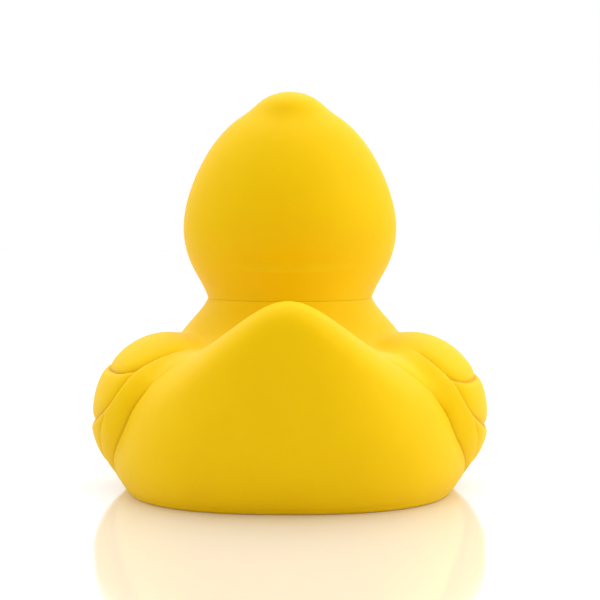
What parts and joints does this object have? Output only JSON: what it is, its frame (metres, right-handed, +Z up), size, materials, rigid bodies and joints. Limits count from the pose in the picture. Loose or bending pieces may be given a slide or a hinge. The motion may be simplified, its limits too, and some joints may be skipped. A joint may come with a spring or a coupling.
{
  "type": "floating chlorine dispenser",
  "caption": "Duck-shaped pool float: hollow belly with tail and wings, lift-off head over a tablet tube, and a turning flow dial in the underside.",
  "frame": {"origin": "centre of the footprint of the whole duck's bounding box, on the plane it stands on", "axes": "+Z up, -Y the way the bill points, +Y towards the tail, X = 0 the plane of symmetry; the tablet tube's axis is upright through x = 0, y = -0.030"},
  "size_m": [0.2404, 0.2544, 0.2408],
  "materials": {
    "yellow_vinyl": "soft matte yellow vinyl",
    "orange_vinyl": "soft matte orange vinyl",
    "eye_white": "glossy white",
    "eye_black": "glossy black",
    "white_polypropylene": "satin moulded white",
    "blue_polypropylene": "satin moulded blue",
    "seal_rubber": "soft black rubber",
    "stainless_steel": "bright stainless steel",
    "cast_zinc": "rough cast grey metal",
    "pressed_chlorine": "pressed white powder with a chalky face"
  },
  "bodies": {
    "body": {"body_shell": "yellow_vinyl", "base_gasket": "seal_rubber", "base_pan": "white_polypropylene", "base_screw_1": "stainless_steel", "base_screw_2": "stainless_steel", "base_screw_3": "stainless_steel", "base_screw_4": "stainless_steel", "base_screw_5": "stainless_steel", "base_screw_6": "stainless_steel", "base_screw_7": "stainless_steel", "base_screw_8": "stainless_steel", "counterweight": "cast_zinc", "tablet_tube": "white_polypropylene", "tube_top_gasket": "seal_rubber", "tube_lower_seal": "seal_rubber", "tube_lock_ring": "white_polypropylene", "vent_grille": "white_polypropylene", "dial_washer": "seal_rubber", "dial_screw": "stainless_steel"},
    "dial": {"flow_dial": "blue_polypropylene"},
    "tablet_stack": {"tablet_1": "pressed_chlorine", "tablet_2": "pressed_chlorine", "tablet_3": "pressed_chlorine"},
    "seal_ring": {"head_plug_ring": "seal_rubber"},
    "head": {"head_shell": "yellow_vinyl", "head_plug": "white_polypropylene", "head_screw_1": "stainless_steel", "head_screw_2": "stainless_steel", "head_screw_3": "stainless_steel", "bill_upper": "orange_vinyl", "bill_lower": "orange_vinyl", "eye_white_left": "eye_white", "eye_white_right": "eye_white", "eye_pupil_left": "eye_black", "eye_pupil_right": "eye_black"}
  },
  "joints": [
    {"name": "head_lift", "type": "slide", "parent": "body", "child": "seal_ring", "axis": [0, 0, 1], "range_m": [0, 0.16]},
    {"name": "head_turn", "type": "hinge", "parent": "seal_ring", "child": "head", "pos_m": [0, -0.03, 0.1128], "axis": [0, 0, 1], "continuous": true},
    {"name": "dial_turn", "type": "hinge", "parent": "body", "child": "dial", "pos_m": [0, -0.03, 0.0065], "axis": [0, 0, 1], "range_deg": [0, 30]},
    {"name": "tablet_lift", "type": "slide", "parent": "body", "child": "tablet_stack", "axis": [0, 0, 1], "range_m": [0, 0.0155]}
  ]
}
